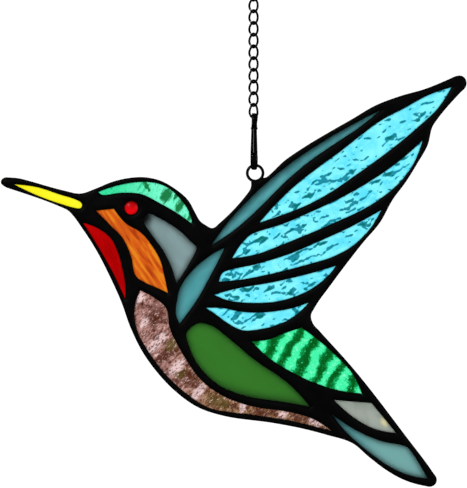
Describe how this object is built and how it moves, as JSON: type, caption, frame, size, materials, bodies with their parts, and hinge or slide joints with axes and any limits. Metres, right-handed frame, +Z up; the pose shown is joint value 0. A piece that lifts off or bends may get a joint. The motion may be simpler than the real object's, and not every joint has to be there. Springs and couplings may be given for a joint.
{
  "type": "stained glass suncatcher",
  "caption": "Hummingbird suncatcher of coloured glass panes held in black soldered came, hung from a ring and a curb chain with a snap hook at each end.",
  "frame": {"origin": "the hang point: where the inside of the upper snap hook's bow bears on what holds it up", "axes": "+Z up along the hang line, +X towards the bird's wing tip, -Y out of the bird's face"},
  "size_m": [0.1906, 0.0098, 0.231],
  "materials": {
    "came": "lead and solder under a black patina, satin, hand run",
    "hardware": "black lacquered steel wire and zinc castings, semi-gloss",
    "glass_yellow": "bright yellow cathedral glass, clear and even",
    "glass_mint": "mint green cathedral glass with darker green streaks and a crinkled face",
    "glass_red": "deep red cathedral glass, clear",
    "glass_orange": "streaky orange and amber glass, wispy",
    "glass_grey": "grey opalescent glass, satin",
    "glass_teal": "grey-teal opalescent glass, faintly wispy",
    "glass_cyan": "bright cyan cathedral glass with dark teal crinkle marks",
    "glass_pink": "pink and brown streaky glass with a granular face",
    "glass_green": "mid green opalescent glass, even",
    "glass_emerald": "emerald ripple glass with dark green bands",
    "glass_pearl": "pearl grey opalescent glass with a cream wisp"
  },
  "bodies": {
    "suncatcher": {"solder_came": "came", "glass_beak": "glass_yellow", "glass_crown": "glass_mint", "glass_eye": "glass_red", "glass_face": "glass_orange", "glass_throat": "glass_red", "glass_cheek": "glass_grey", "glass_shoulder": "glass_teal", "glass_wing_edge": "glass_teal", "glass_feather_1": "glass_cyan", "glass_feather_2": "glass_cyan", "glass_feather_3": "glass_cyan", "glass_feather_4": "glass_cyan", "glass_feather_5": "glass_cyan", "glass_belly": "glass_pink", "glass_body": "glass_green", "glass_rump": "glass_emerald", "glass_tail_upper": "glass_pearl", "glass_tail_lower": "glass_teal", "hanging_ring": "hardware", "lower_hook_body": "hardware", "lower_hook_pin": "hardware", "chain_link_01": "hardware", "chain_link_02": "hardware", "chain_link_03": "hardware", "chain_link_04": "hardware", "chain_link_05": "hardware", "chain_link_06": "hardware", "chain_link_07": "hardware", "chain_link_08": "hardware", "chain_link_09": "hardware", "chain_link_10": "hardware", "chain_link_11": "hardware", "chain_link_12": "hardware", "upper_hook_body": "hardware", "upper_hook_pin": "hardware"},
    "lower_gate": {"lower_hook_gate": "hardware"},
    "upper_gate": {"upper_hook_gate": "hardware"}
  },
  "joints": [
    {"name": "lower_gate_hinge", "type": "hinge", "parent": "suncatcher", "child": "lower_gate", "pos_m": [0.00025, -0.00135, -0.08329], "axis": [1, 0, 0], "range_deg": [0, 22], "stiffness_Nm_per_rad": 0.02, "springref_deg": -20.05},
    {"name": "upper_gate_hinge", "type": "hinge", "parent": "suncatcher", "child": "upper_gate", "pos_m": [0, -0.00135, -0.01595], "axis": [-1, 0, 0], "range_deg": [0, 22], "stiffness_Nm_per_rad": 0.02, "springref_deg": -20.05}
  ]
}
